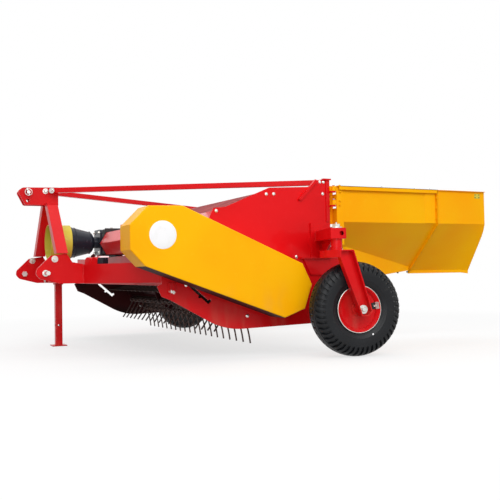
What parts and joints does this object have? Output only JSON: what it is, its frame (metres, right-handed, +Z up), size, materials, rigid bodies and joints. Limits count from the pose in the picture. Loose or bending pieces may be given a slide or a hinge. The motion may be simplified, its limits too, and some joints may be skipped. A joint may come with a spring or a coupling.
{
  "type": "hay tedder",
  "caption": "Three-point hay tedder with a tined cross rotor, belt case, two castor wheels, parking stand and hinged swath deflectors.",
  "frame": {"origin": "on the ground below the middle of the machine's box, as it stands on its wheels and parking stand", "axes": "+X to the rear, away from the tractor; +Y to the machine's right; +Z up"},
  "size_m": [2.621, 2.644, 0.942],
  "materials": {
    "red_paint": "gloss red machinery paint",
    "yellow_paint": "gloss yellow machinery paint",
    "black_plastic": "moulded black guard",
    "yellow_plastic": "moulded dull yellow guard",
    "black_casting": "black painted casting",
    "bright_steel": "zinc plated steel",
    "tine_steel": "dark oiled spring steel",
    "tyre": "black rubber with moulded tread"
  },
  "bodies": {
    "frame": {"headstock_beam": "red_paint", "stand_socket": "red_paint", "top_link_bracket": "red_paint", "top_link_pin": "bright_steel", "front_cross_beam": "red_paint", "gearbox": "black_casting", "pto_guard_cone": "black_plastic", "pto_guard_collar": "yellow_plastic", "shaft_casing": "red_paint", "belt_case": "yellow_paint", "belt_case_back": "red_paint", "hood": "red_paint", "rear_cross_tube": "red_paint", "main_beam_left": "red_paint", "main_beam_right": "red_paint", "hitch_plate_left": "red_paint", "hitch_plate_right": "red_paint", "hitch_stud_left": "bright_steel", "hitch_stud_right": "bright_steel", "mast_leg_left": "red_paint", "mast_leg_right": "red_paint", "tie_bar_left": "red_paint", "tie_bar_right": "red_paint", "side_panel_left": "red_paint", "side_panel_right": "red_paint", "rear_post_left": "red_paint", "rear_post_right": "red_paint", "rotor_bearing_left": "black_casting", "rotor_bearing_right": "black_casting", "castor_bracket_left": "red_paint", "castor_bracket_right": "red_paint"},
    "stand": {"stand_leg": "red_paint"},
    "rotor": {"rotor_shaft": "red_paint", "tine_bars": "tine_steel"},
    "pto_shaft": {"pto_input_shaft": "bright_steel"},
    "castor_left": {"castor_arm_left": "red_paint"},
    "wheel_left": {"rim_left": "red_paint", "tyre_left": "tyre"},
    "deflector_left": {"door_left": "yellow_paint", "door_extension_left": "yellow_paint"},
    "castor_right": {"castor_arm_right": "red_paint"},
    "wheel_right": {"rim_right": "red_paint", "tyre_right": "tyre"},
    "deflector_right": {"door_right": "yellow_paint", "door_extension_right": "yellow_paint"}
  },
  "joints": [
    {"name": "rotor_spin", "type": "hinge", "parent": "frame", "child": "rotor", "pos_m": [-0.2715, 0, 0.345], "axis": [0, 1, 0], "continuous": true},
    {"name": "pto_spin", "type": "hinge", "parent": "frame", "child": "pto_shaft", "pos_m": [-0.9235, 0, 0.625], "axis": [1, 0, 0], "continuous": true},
    {"name": "stand_slide", "type": "slide", "parent": "frame", "child": "stand", "axis": [0, 0, 1], "range_m": [0, 0.3]},
    {"name": "castor_left_swivel", "type": "hinge", "parent": "frame", "child": "castor_left", "pos_m": [0.0595, -1.19, 0.6], "axis": [0, 0, 1], "range_deg": [-4, 38]},
    {"name": "wheel_left_spin", "type": "hinge", "parent": "castor_left", "child": "wheel_left", "pos_m": [0.1506, -1.2028, 0.24], "axis": [-0.1392, -0.9903, 0], "continuous": true},
    {"name": "deflector_left_swing", "type": "hinge", "parent": "frame", "child": "deflector_left", "pos_m": [0.2255, -0.912, 0.744], "axis": [0, 0, 1], "range_deg": [-6, 35]},
    {"name": "castor_right_swivel", "type": "hinge", "parent": "frame", "child": "castor_right", "pos_m": [0.0595, 1.19, 0.6], "axis": [0, 0, -1], "range_deg": [-4, 38]},
    {"name": "wheel_right_spin", "type": "hinge", "parent": "castor_right", "child": "wheel_right", "pos_m": [0.1506, 1.2028, 0.24], "axis": [0.1392, -0.9903, 0], "continuous": true},
    {"name": "deflector_right_swing", "type": "hinge", "parent": "frame", "child": "deflector_right", "pos_m": [0.2255, 0.912, 0.744], "axis": [0, 0, -1], "range_deg": [-6, 35]}
  ],
  "couplings": [
    {"joint": "pto_spin", "follows": "rotor_spin", "ratio": 1.6}
  ]
}
